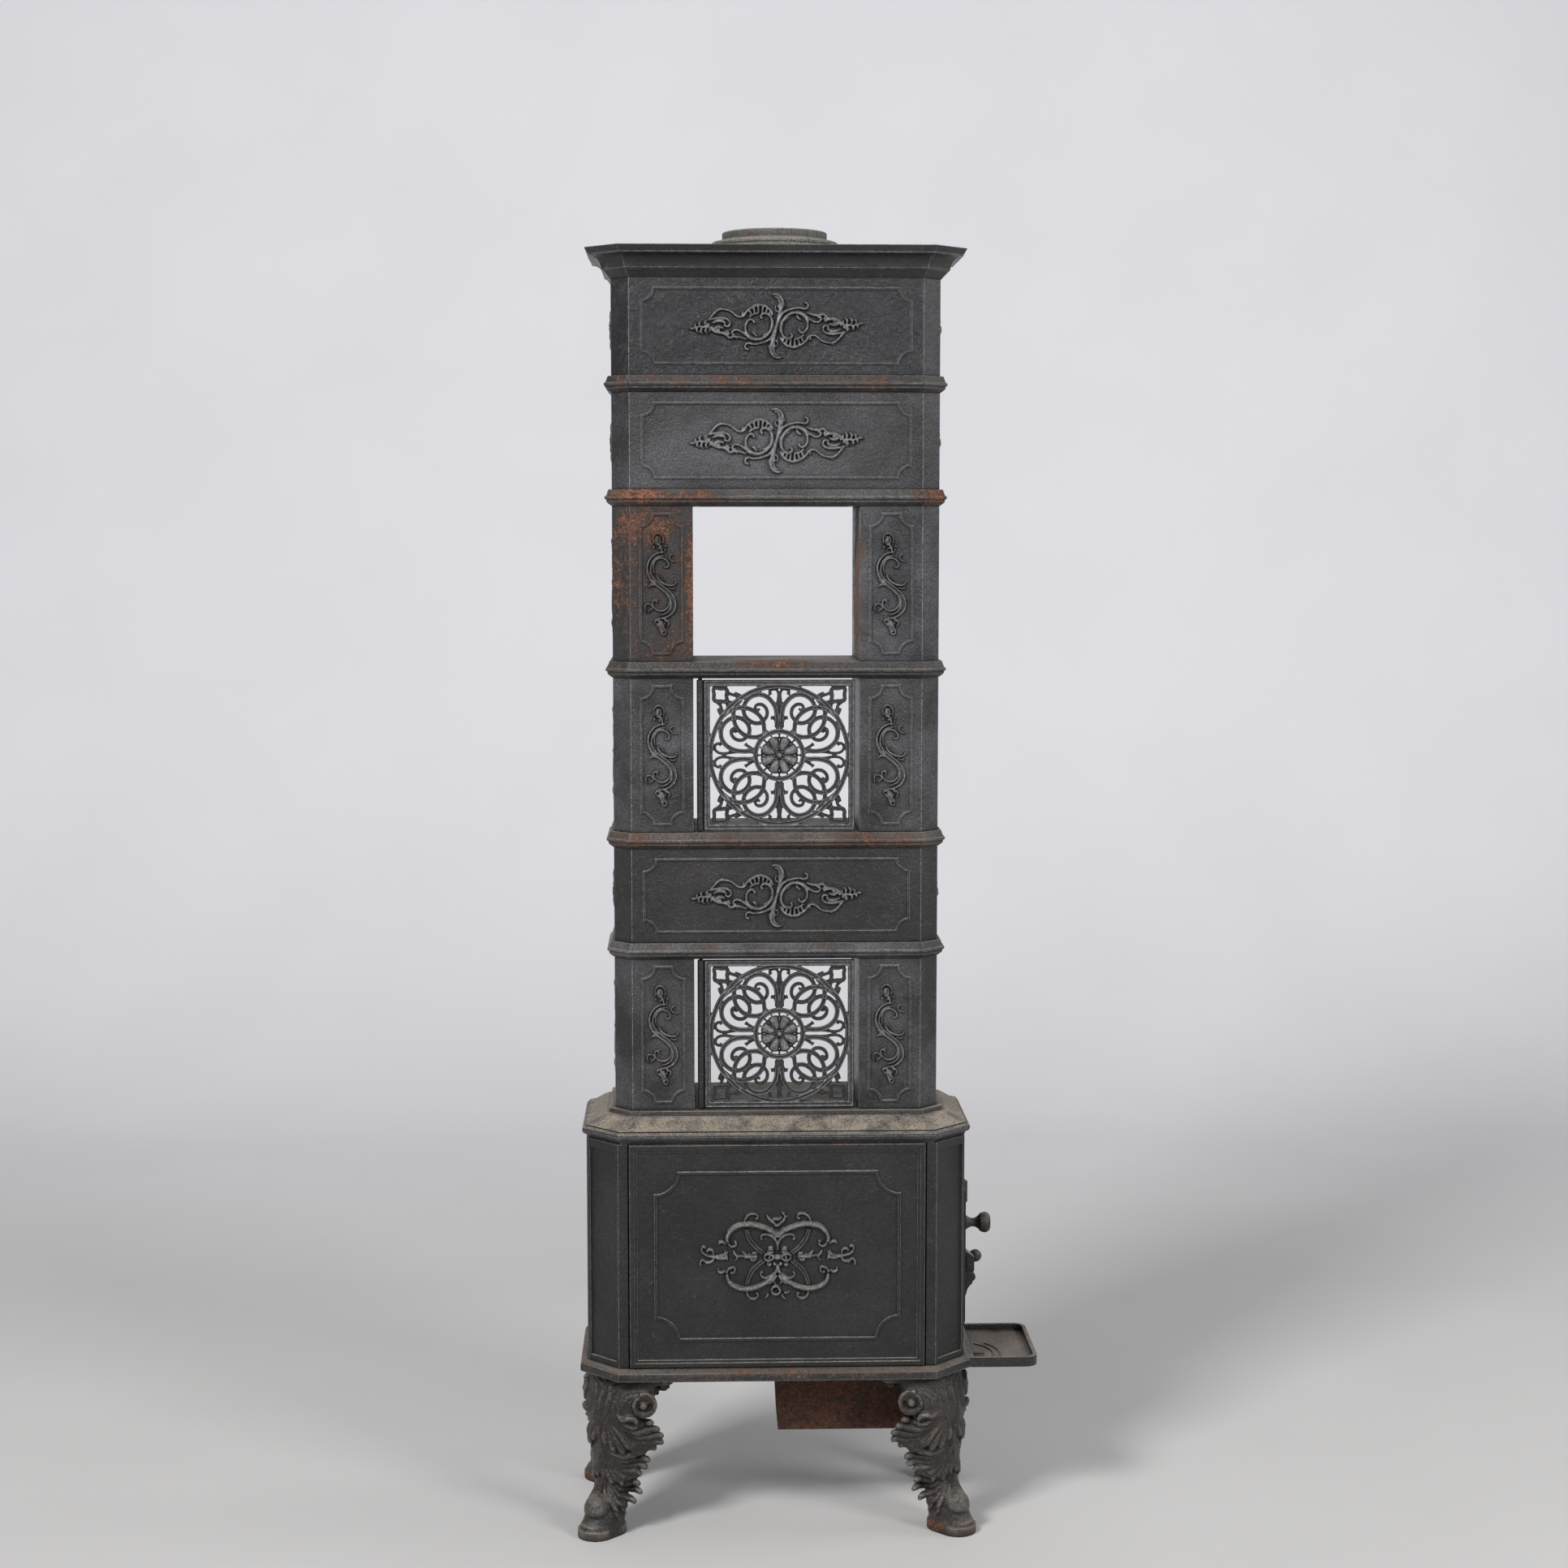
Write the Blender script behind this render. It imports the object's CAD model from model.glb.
import math

import bmesh
import bpy
from mathutils import Matrix, Vector


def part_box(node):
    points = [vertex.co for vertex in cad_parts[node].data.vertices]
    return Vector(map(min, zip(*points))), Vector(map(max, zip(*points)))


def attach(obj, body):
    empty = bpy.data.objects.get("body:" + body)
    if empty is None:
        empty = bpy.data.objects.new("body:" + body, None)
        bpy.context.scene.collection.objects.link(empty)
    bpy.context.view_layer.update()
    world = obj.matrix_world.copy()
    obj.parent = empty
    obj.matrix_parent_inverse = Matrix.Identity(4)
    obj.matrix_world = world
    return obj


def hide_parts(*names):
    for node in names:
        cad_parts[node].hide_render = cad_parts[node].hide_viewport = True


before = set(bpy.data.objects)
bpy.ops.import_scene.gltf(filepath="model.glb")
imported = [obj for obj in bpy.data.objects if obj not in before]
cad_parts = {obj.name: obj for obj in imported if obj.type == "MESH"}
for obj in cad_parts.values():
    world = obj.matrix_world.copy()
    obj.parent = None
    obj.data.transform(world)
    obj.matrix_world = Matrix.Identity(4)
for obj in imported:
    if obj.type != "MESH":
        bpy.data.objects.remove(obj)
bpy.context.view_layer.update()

mm = 0.001
middleX = sum(corner.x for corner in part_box("crown")) / 2  # the stove's middle lies left of the origin


def linear(hexColour):
    # sRGB hex to the linear RGBA that shaders take
    parts = [int(hexColour[i:i + 2], 16) / 255 for i in (1, 3, 5)]
    return tuple(c / 12.92 if c <= 0.04045 else ((c + 0.055) / 1.055) ** 2.4 for c in parts) + (1.0,)


def put(tree, kind, inputs=(), **settings):
    # adds a shader node, then sets or links its inputs, given in order or by name or number
    node = tree.nodes.new("ShaderNode" + kind)
    for name, value in settings.items():
        setattr(node, name, value)
    for key, value in inputs.items() if isinstance(inputs, dict) else enumerate(inputs):
        if isinstance(value, bpy.types.NodeSocket):
            tree.links.new(value, node.inputs[key])
        else:
            node.inputs[key].default_value = value
    return node


def emptyMaterial(name):
    # a material with no nodes but the Object coordinates that its patterns lie on
    material = bpy.data.materials.new(name)
    material.use_nodes = True
    material.node_tree.nodes.clear()
    return material, material.node_tree, put(material.node_tree, "TexCoord").outputs["Object"]


def addObject(name, data, material=None):
    thing = bpy.data.objects.new(name, data)
    bpy.context.scene.collection.objects.link(thing)
    if material:
        data.materials.clear()
        data.materials.append(material)
    return thing


def finished(name, bm, smoothAngle=40):
    # turns a bmesh into a mesh with its shading split at sharp corners
    for face in bm.faces:
        face.smooth = True
    mesh = bpy.data.meshes.new(name)
    bm.to_mesh(mesh)
    bm.free()
    mesh.set_sharp_from_angle(angle=math.radians(smoothAngle))
    return mesh


def joined(mesh, others):
    # a mesh with others added to it
    bm = bmesh.new()
    for part in (mesh, *others):
        bm.from_mesh(part)
    bm.to_mesh(mesh)
    bm.free()
    return mesh


def evaluated(thing):
    # the mesh with its modifiers applied; the helper object is removed
    graph = bpy.context.evaluated_depsgraph_get()
    mesh = bpy.data.meshes.new_from_object(thing.evaluated_get(graph), depsgraph=graph)
    bpy.data.objects.remove(thing)
    return mesh


def spread(values, count):
    # a short list of widths spread evenly over more points
    if len(values) == count:
        return values
    steps = [i * (len(values) - 1) / max(count - 1, 1) for i in range(count)]
    return [values[int(s)] + (values[min(int(s) + 1, len(values) - 1)] - values[int(s)]) * (s % 1)
            for s in steps]


def readStrokes(text, widths=None):
    # one stroke a line: points in mm, then a bar and its own widths in mm where no widths are given
    strokes = []
    for line in text.strip().splitlines():
        points, _, ownWidths = line.partition("|")
        points = [tuple(float(v) for v in point.split(",")) for point in points.split()]
        strokes.append((points, spread(widths or [float(w) for w in ownWidths.split()], len(points))))
    return strokes


def turned(strokes, sx=1, sz=1):
    return [([(p[0] * sx, p[1] * sz) + tuple(p[2:]) for p in points], widths) for points, widths in strokes]


def addPaths(curve, strokes, stand):
    # a smooth path along each stroke, as thick as its widths; stand gives a point's place
    for points, widths in strokes:
        closed = len(points) > 3 and points[0] == points[-1]
        points = points[:-1] if closed else points
        spline = curve.splines.new("BEZIER")
        spline.bezier_points.add(len(points) - 1)
        spline.use_cyclic_u = closed
        for knot, point, width in zip(spline.bezier_points, points, widths):
            knot.co = stand(*point)
            knot.handle_left_type = knot.handle_right_type = "AUTO"
            knot.radius = width / 2


def drawStrokes(name, strokes, resolution=5):
    # round strokes lying in the XZ plane; a third number lifts a point towards -Y
    curve = bpy.data.curves.new(name, "CURVE")
    curve.dimensions = "3D"
    curve.bevel_depth = mm
    curve.bevel_resolution = 2
    curve.resolution_u = resolution
    curve.use_fill_caps = True
    addPaths(curve, strokes, lambda x, z, lift=0: (x * mm, -lift * mm, z * mm))
    return evaluated(addObject(name, curve))


def fused(name, meshes, voxel, keep):
    # closes overlapping shapes into one skin, as a casting has
    thing = addObject(name, joined(bpy.data.meshes.new(name), meshes))
    remesh = thing.modifiers.new("one skin", "REMESH")
    remesh.mode, remesh.voxel_size, remesh.use_smooth_shade = "VOXEL", voxel * mm, True
    soften = thing.modifiers.new("soft edges", "SMOOTH")
    soften.iterations, soften.factor = 1, 0.5
    thing.modifiers.new("fewer faces", "DECIMATE").ratio = keep
    return evaluated(thing)


def placed(mesh, matrix):
    # a moved copy; a mirrored one is turned right side out again
    copy = mesh.copy()
    copy.transform(matrix)
    if matrix.determinant() < 0:
        copy.flip_normals()
    return copy


def markCrests(mesh, top, frontY, hollow=-0.7):
    # how high each point of a relief stands: rubbed blacking on its crests, dark hollows between them
    crest = mesh.attributes.new("crest", "FLOAT", "POINT")
    values = []
    for v in mesh.vertices:
        value = min(1, hollow + (1 - hollow) * (frontY * mm - v.co.y) / (top * mm))
        values.append(value * max(0, -v.normal.y) ** 3 if value > 0 else max(value, hollow))
    crest.data.foreach_set("value", values)


def markRidges(mesh, depth):
    # ridges are rubbed: how far each point stands off a smoothed copy of the shape
    thing = addObject(mesh.name + "Soft", mesh.copy())
    soften = thing.modifiers.new("soft", "SMOOTH")
    soften.iterations, soften.factor = 16, 0.6
    soft = evaluated(thing)
    crest = mesh.attributes.new("crest", "FLOAT", "POINT")
    crest.data.foreach_set("value", [max(0, min(1, (a.co - b.co).dot(a.normal) / (depth * mm)))
                                     for a, b in zip(mesh.vertices, soft.vertices)])


merging = {"near": 0.02, "flat": 0.6}  # mm between doubled points, degrees between faces that are one


def castCopy(node, edge=0.9, minAngle=24, clamp=True, inner=True):
    # a CAD casting's own shape with its sharp corners rounded, as moulding sand leaves them
    bm = bmesh.new()
    bm.from_mesh(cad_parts[node].data)
    bmesh.ops.remove_doubles(bm, verts=bm.verts, dist=merging["near"] * mm)
    bmesh.ops.dissolve_limit(bm, angle_limit=math.radians(merging["flat"]), verts=bm.verts, edges=bm.edges)
    crest = bm.verts.layers.float.new("crest")
    corners = [e for e in bm.edges if e.is_manifold and e.calc_face_angle() > math.radians(minAngle)
               and (inner or e.is_convex)]
    for v in {v for e in corners if e.is_convex for v in e.verts}:
        v[crest] = 1
    bevel = bmesh.ops.bevel(bm, geom=corners, offset=edge * mm, segments=2, affect="EDGES",
                            profile=0.5, clamp_overlap=clamp, material=-1)
    rounded = set(bevel["faces"])
    for v in bm.verts:
        if any(f not in rounded for f in v.link_faces):
            v[crest] = 0
    return bm


def makePiece(name, bm, material, body, nodes, extras=(), smoothAngle=50):
    # one casting: the CAD shape, its ornaments, its finish, and what it rides on
    mesh = finished(name, bm, smoothAngle)
    thing = addObject(name, joined(mesh, extras) if extras else mesh, material)
    even = thing.modifiers.new("even shading", "WEIGHTED_NORMAL")
    even.keep_sharp = True
    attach(thing, body)
    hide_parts(*nodes)


ironTones = {"iron": "#1a1a1b", "haze": "#343436", "worn": "#86878a", "grime": "#9c9182",
             "deepRust": "#2c1f1a", "rust": "#4e382d", "freshRust": "#7d4f36"}
ironGrain = {"sand": 2.3, "pit": 6.5, "patch": 26.0, "cloud": 85.0}  # in mm; sand is drawn coarse to show
ironLayers = {  # from and to on the pattern that drives a layer, then its strength at each end
    "rust": (0.62, 1.1, 0.0, 0.9), "freshRust": (0.95, 1.6, 0.0, 0.8), "flakes": (0.38, 0.62, 0.0, 1.0),
    "crest": (0.35, 1.0, 0.0, 1.0), "rubbed": (0.3, 0.7, 0.2, 0.95), "facesUp": (0.45, 0.95, 0.0),
    "settled": (0.32, 0.66, 0.2, 1.0), "cloud": (0.38, 0.68, 0.0), "speck": (0.32, 0.68, 0.4, 1.7),
    "crevice": (0.4, 0.95, 0.1, 1.0), "spot": (0.25, 1.0), "pebble": (0.3, 0.7),
}  # a short one ends in a material's own values
ironField = {"start": -1.4, "patch": 1.5, "pit": 0.8, "sand": 1.3}  # what the rust's field is summed from
ironRelief = {"pit": 0.5, "patch": 1.8, "deep": 0.9}  # heights beside the sand's 1, and mm for the whole
ironRough = {"smoothest": -0.08, "roughest": 0.1, "rubbed": -0.14, "dull": 0.92, "hollow": 0.95,
             "hollowTo": 0.8}


def addSpots(tree, coords, field, spots):
    # raises a field in ellipsoids: x, y, z, rx, ry, rz and strength, in mm from the stove's middle
    for x, y, z, rx, ry, rz, strength in spots:
        middle = (middleX + x * mm, y * mm, z * mm)
        away = put(tree, "VectorMath", [coords, middle], operation="SUBTRACT").outputs[0]
        away = put(tree, "VectorMath", [away, (rx * mm, ry * mm, rz * mm)], operation="DIVIDE").outputs[0]
        away = put(tree, "VectorMath", [away], operation="LENGTH").outputs["Value"]
        near = put(tree, "MapRange", [away, *ironLayers["spot"], strength, 0.0]).outputs[0]
        field = put(tree, "Math", [field, near], operation="ADD").outputs[0]
    return field


def castIron(name, rust=0.0, spots=(), dust=0.5, bloom=0.5, rough=0.36, relief=1.0, hollow=7,
             hazeSpots=(), **tones):
    # stove-blacked grey iron cast in sand: near black and finely pebbled, rubbed paler on crests
    # and corners, with dust where it faces up and rust in patches
    tone = {key: linear(value) for key, value in {**ironTones, **tones}.items()}
    material, tree, coords = emptyMaterial(name)
    noise = {}
    for key, size in ironGrain.items():
        noise[key] = put(tree, "TexNoise", {"Vector": coords, "Scale": 1 / (size * mm), "Detail": 4,
                                            "Roughness": 0.62}).outputs[0]
    field = rust + ironField["start"]
    for key in ("patch", "pit", "sand"):
        field = put(tree, "Math", [noise[key], ironField[key], field], operation="MULTIPLY_ADD").outputs[0]
    field = addSpots(tree, coords, field, spots)
    rusted = put(tree, "MapRange", [field, *ironLayers["rust"]]).outputs[0]
    fresh = put(tree, "MapRange", [field, *ironLayers["freshRust"]]).outputs[0]
    flakes = put(tree, "MapRange", [noise["pit"], *ironLayers["flakes"]]).outputs[0]

    crest = put(tree, "Attribute", attribute_name="crest").outputs["Fac"]
    crest = put(tree, "MapRange", [crest, *ironLayers["crest"]]).outputs[0]
    rubbed = put(tree, "MapRange", [noise["pit"], *ironLayers["rubbed"]]).outputs[0]
    rubbed = put(tree, "Math", [rubbed, crest], operation="MULTIPLY", use_clamp=True).outputs[0]
    up = put(tree, "SeparateXYZ", [put(tree, "NewGeometry").outputs["Normal"]]).outputs["Z"]
    dusty = put(tree, "MapRange", [up, *ironLayers["facesUp"], dust]).outputs[0]
    settled = put(tree, "MapRange", [noise["patch"], *ironLayers["settled"]]).outputs[0]
    dusty = put(tree, "Math", [dusty, settled], operation="MULTIPLY").outputs[0]
    cloudy = put(tree, "MapRange", [noise["cloud"], *ironLayers["cloud"], bloom]).outputs[0]
    cloudy = addSpots(tree, coords, cloudy, hazeSpots)

    scale = tone["deepRust"]
    for part, layer in ((flakes, tone["rust"]), (fresh, tone["freshRust"])):
        scale = put(tree, "Mix", {0: part, 6: scale, 7: layer}, data_type="RGBA").outputs[2]
    colour = tone["iron"]
    for part, layer in ((cloudy, tone["haze"]), (rubbed, tone["worn"]), (dusty, tone["grime"]),
                        (rusted, scale)):
        colour = put(tree, "Mix", {0: part, 6: colour, 7: layer}, data_type="RGBA").outputs[2]
    shade = put(tree, "AmbientOcclusion", {"Distance": hollow * mm}, samples=4).outputs["AO"]
    shade = put(tree, "MapRange", [shade, *ironLayers["crevice"]]).outputs[0]
    speck = put(tree, "MapRange", [noise["sand"], *ironLayers["speck"]]).outputs[0]
    speck = put(tree, "Math", [speck, shade], operation="MULTIPLY").outputs[0]
    colour = put(tree, "VectorMath", {0: colour, "Scale": speck}, operation="SCALE").outputs[0]

    ends = [rough + ironRough["smoothest"], rough + ironRough["roughest"]]
    matt = put(tree, "MapRange", [noise["pit"], *ironLayers["pebble"], *ends]).outputs[0]
    matt = put(tree, "Math", [rubbed, ironRough["rubbed"], matt], operation="MULTIPLY_ADD").outputs[0]
    dull = put(tree, "Math", [rusted, dusty], operation="MAXIMUM").outputs[0]
    matt = put(tree, "MapRange", [dull, 0.0, 1.0, matt, ironRough["dull"]]).outputs[0]
    matt = put(tree, "MapRange", [shade, 0.0, ironRough["hollowTo"], ironRough["hollow"], matt]).outputs[0]
    height = noise["sand"]
    for key in ("pit", "patch"):
        height = put(tree, "Math", [noise[key], ironRelief[key], height], operation="MULTIPLY_ADD").outputs[0]
    bump = put(tree, "Bump", {"Height": height, "Strength": relief,
                              "Distance": ironRelief["deep"] * mm}).outputs[0]
    shader = put(tree, "BsdfPrincipled", {"Base Color": colour, "Roughness": matt, "Normal": bump})
    put(tree, "OutputMaterial", {"Surface": shader.outputs[0]})
    return material


# where rust has come through, in mm from the stove's middle
rustSpots = {
    "pilaster": [(-183, -72, 1200, 30, 60, 110, 0.3), (-106, -78, 1170, 16, 40, 110, 0.42),
                 (-140, -78, 1096, 60, 40, 36, 0.25), (-150, -78, 1250, 50, 40, 36, 0.5),
                 (-140, -78, 1190, 24, 20, 60, 0.12), (-101, -20, 1180, 12, 80, 140, 0.8)],
    "reveal": [(101, -20, 1180, 14, 95, 170, 0.9)],
    "floor2": [(120, -84, 866, 70, 30, 18, 0.5), (-170, -80, 862, 60, 40, 16, 0.3),
               (-20, -84, 860, 90, 30, 14, 0.35)],
    "floor4": [(-170, -80, 1284, 60, 40, 18, 0.8), (-90, -86, 1280, 50, 30, 12, 0.5),
               (188, -70, 1284, 30, 40, 20, 0.7)],
    "floor5": [(-60, -86, 1420, 120, 30, 14, 0.35), (70, -86, 1420, 110, 30, 12, 0.25),
               (-170, -70, 1422, 40, 40, 12, 0.4)],
    "floor3": [(0, -60, 1082, 96, 60, 10, 0.7), (-190, -60, 1078, 30, 40, 20, 0.45)],
    "baseTop": [(0, -112, 494, 260, 40, 9, 0.42), (-190, -90, 532, 60, 50, 12, 0.5),
                (0, -80, 531, 200, 12, 9, 0.4), (180, -90, 530, 50, 40, 12, 0.3)],
    "plate": [(0, -120, 212, 260, 14, 9, 0.4), (-235, 0, 212, 20, 120, 12, 0.4)],
    "foot": [(-217.5, -95, -6, 44, 44, 26, 0.9), (217.5, -95, -4, 44, 44, 34, 1.2),
             (-217.5, 95, 0, 44, 44, 30, 1.1), (217.5, 95, 0, 44, 44, 30, 1.1)],
}
cloudSpots = {  # where the blacking is cloudier, or clearer where the strength is below 0
    "storey6": [(-110, -78, 1490, 90, 40, 50, -0.7), (110, -78, 1440, 130, 40, 30, 0.3)],
    "storey5": [(-30, -78, 1340, 150, 40, 50, 0.9), (-150, -78, 1310, 60, 40, 50, 0.4)],
}

# stove-blacked castings: even blacking on the cornice and storey 2, cloudy on the columns, sooty on the base
towerIron = castIron("stoveBlackedCasting")
columnIron = castIron("hazyBlackedCasting", bloom=0.9, iron="#1f1f20", haze="#47474a")
baseIron = castIron("sootyBlackedCasting", rust=-0.12, bloom=0.3, dust=0.85, iron="#141414")
glossyIron = castIron("freshlyBlackedCasting", rough=0.25, iron="#121418", haze="#2c2c30", bloom=0.35,
                      hazeSpots=cloudSpots["storey6"])
panelIron = castIron("dustyBlackedPanel", bloom=0.6, iron="#1e1e20", haze="#434346",
                     hazeSpots=cloudSpots["storey5"])
grilleIron = castIron("piercedCasting", iron="#17181a", rough=0.4, dust=0.35, bloom=0.3)
legIron = castIron("rubbedLegCasting", rust=0.1, dust=0.3, spots=rustSpots["foot"], rough=0.27, hollow=14,
                   iron="#171514", haze="#3b342e", worn="#857e75", bloom=0.6)
# castings whose blacking has gone: matt red-brown rust in patches, grey-buff dust on what faces up
rustyPilasterIron = castIron("rustingBlackedPilaster", rust=0.2, spots=rustSpots["pilaster"], rough=0.6)
rightPilasterIron = castIron("blackedPilaster", spots=rustSpots["reveal"], bloom=1.0, iron="#202124",
                             haze="#4c4c50")
floorHaze = {1: "#56565a", 2: "#54453c", 3: "#29282a", 4: "#434344", 5: "#2f2a27"}
floorIrons = {n: castIron(f"rustEdgedPlate{n}", rust=0.14, dust=0.6, bloom=0.9, haze=tone,
                          spots=rustSpots.get(f"floor{n}", ())) for n, tone in floorHaze.items()}
baseTopIron = castIron("dustyBaseTop", rust=0.05, dust=0.9, bloom=1.0, spots=rustSpots["baseTop"])
plateIron = castIron("dustyBasePlate", rust=0.12, dust=0.7, bloom=0.7, haze="#3a342e", grime="#857b6d",
                     spots=rustSpots["plate"])
collarIron = castIron("weatheredCollar", rust=0.2, dust=0.9, iron="#3f4340", haze="#666a66",
                      worn="#b9aba2", rough=0.65)
# rusted through: dull brown sheet, scaled grate, and pins with a little metal showing
rustySheet = castIron("rustedSheetIron", rust=0.8, dust=0.3, rough=0.75, iron="#33211b", haze="#3d2c25",
                      deepRust="#33201a", freshRust="#5a3525", grime="#6b5243")
burntIron = castIron("burntFireGrate", rust=0.6, dust=0.4, rough=0.8)
rustyPins = castIron("rustySteelPins", rust=0.45, rough=0.5, relief=0.5)

brick = {"grit": 2.5, "soot": 60, "deep": 1, "strength": 0.5, "rough": 0.95,  # sizes in mm
         "dark": "#8c745a", "pale": "#b39a7c", "sooty": "#2a2520", "sooted": (0.35, 0.65, 0.2, 0.85)}


def firebrick():
    # fired clay: matt, sandy buff, blackened by soot
    material, tree, coords = emptyMaterial("sootyFirebrick")
    grit, soot = (put(tree, "TexNoise", {"Vector": coords, "Scale": 1 / (brick[key] * mm),
                                         "Detail": 4}).outputs[0] for key in ("grit", "soot"))
    soot = put(tree, "MapRange", [soot, *brick["sooted"]]).outputs[0]
    clay = linear(brick["dark"])
    for part, layer in ((grit, brick["pale"]), (soot, brick["sooty"])):
        clay = put(tree, "Mix", {0: part, 6: clay, 7: linear(layer)}, data_type="RGBA").outputs[2]
    bump = put(tree, "Bump", {"Height": grit, "Strength": brick["strength"],
                              "Distance": brick["deep"] * mm}).outputs[0]
    shader = put(tree, "BsdfPrincipled", {"Base Color": clay, "Roughness": brick["rough"], "Normal": bump})
    put(tree, "OutputMaterial", {"Surface": shader.outputs[0]})
    return material


sootyBrick = firebrick()

studio = {"wide": 12.0, "front": 5.0, "back": 3.2, "height": 7.0, "bend": 1.2,
          "floor": "#bbbab9", "wall": "#e2e2e7", "mottle": 3.0, "fadeFrom": 1.0}


def studioPaper():
    # matt studio paper, a little darker where it lies on the floor
    material, tree, coords = emptyMaterial("matt studio paper")
    mottle = put(tree, "TexNoise", {"Vector": coords, "Scale": studio["mottle"], "Detail": 2}).outputs[0]
    mottle = put(tree, "MapRange", [mottle, 0.3, 0.7, 0.985, 1.015]).outputs[0]
    away = put(tree, "SeparateXYZ", [coords]).outputs["Y"]
    away = put(tree, "MapRange", [away, studio["fadeFrom"], studio["back"], 0.0, 1.0]).outputs[0]
    colour = put(tree, "Mix", {0: away, 6: linear(studio["floor"]), 7: linear(studio["wall"])},
                 data_type="RGBA").outputs[2]
    colour = put(tree, "VectorMath", {0: colour, "Scale": mottle}, operation="SCALE").outputs[0]
    shader = put(tree, "BsdfPrincipled", {"Base Color": colour, "Roughness": 0.9})
    put(tree, "OutputMaterial", {"Surface": shader.outputs[0]})
    return material


def buildBackdrop():
    # floor and wall in one sheet with a round bend between them
    bm = bmesh.new()
    bendY = studio["back"] - studio["bend"]
    start = [bm.verts.new((-studio["wide"] / 2, y, 0)) for y in (-studio["front"], bendY)]
    bm.edges.new(start)
    bend = bmesh.ops.spin(bm, geom=[start[1]], cent=(0, bendY, studio["bend"]), axis=(1, 0, 0),
                          angle=math.pi / 2, steps=24)
    last = [v for v in bend["geom_last"] if isinstance(v, bmesh.types.BMVert)][0]
    top = bm.verts.new((last.co.x, last.co.y, studio["height"]))
    bm.edges.new((last, top))
    sheet = bmesh.ops.extrude_edge_only(bm, edges=bm.edges[:])
    moved = [v for v in sheet["geom"] if isinstance(v, bmesh.types.BMVert)]
    bmesh.ops.translate(bm, verts=moved, vec=(studio["wide"], 0, 0))
    bmesh.ops.recalc_face_normals(bm, faces=bm.faces)
    if bm.faces[:][0].normal.z < 0:
        bmesh.ops.reverse_faces(bm, faces=bm.faces)
    return addObject("backdrop", finished("backdrop", bm, 60), studioPaper())


buildBackdrop()

lamps = {  # place, size and watts; each one looks at the stove's middle
    "keyLamp": {"place": (-2.4, -3.0, 3.6), "size": 1.1, "watts": 205},
    "fillLamp": {"place": (3.0, -3.0, 2.6), "size": 1.3, "watts": 92},
    "sideLamp": {"place": (3.2, 0.2, 2.4), "size": 1.6, "watts": 30},
}
for name, lamp in lamps.items():
    light = bpy.data.lights.new(name, "AREA")
    light.energy, light.size = lamp["watts"], lamp["size"]
    thing = addObject(name, light)
    thing.location = lamp["place"]
    thing.rotation_euler = (Vector((0, 0, 0.8)) - Vector(lamp["place"])).to_track_quat("-Z", "Y").to_euler()

air = {"colour": (1.0, 0.995, 0.99, 1), "strength": 0.3}
world = bpy.data.worlds.new("studio air")
bpy.context.scene.world = world
world.use_nodes = True
world.node_tree.nodes["Background"].inputs["Color"].default_value = air["colour"]
world.node_tree.nodes["Background"].inputs["Strength"].default_value = air["strength"]

camera = {"lens": 60.37, "x": -100, "y": -3264, "z": 1244, "down": 5.57, "right": 1.96}  # mm and degrees
eye = addObject("camera", bpy.data.cameras.new("camera"))
eye.data.lens = camera["lens"]
eye.data.clip_end = 100
eye.location = (middleX + camera["x"] * mm, camera["y"] * mm, camera["z"] * mm)
eye.rotation_euler = (math.radians(90 - camera["down"]), 0, -math.radians(camera["right"]))
bpy.context.scene.camera = eye
bpy.context.scene.view_settings.view_transform = "Standard"
print("studio ready")


# cast ornaments: strokes in mm, x to the right and z up from the ornament's middle

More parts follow.
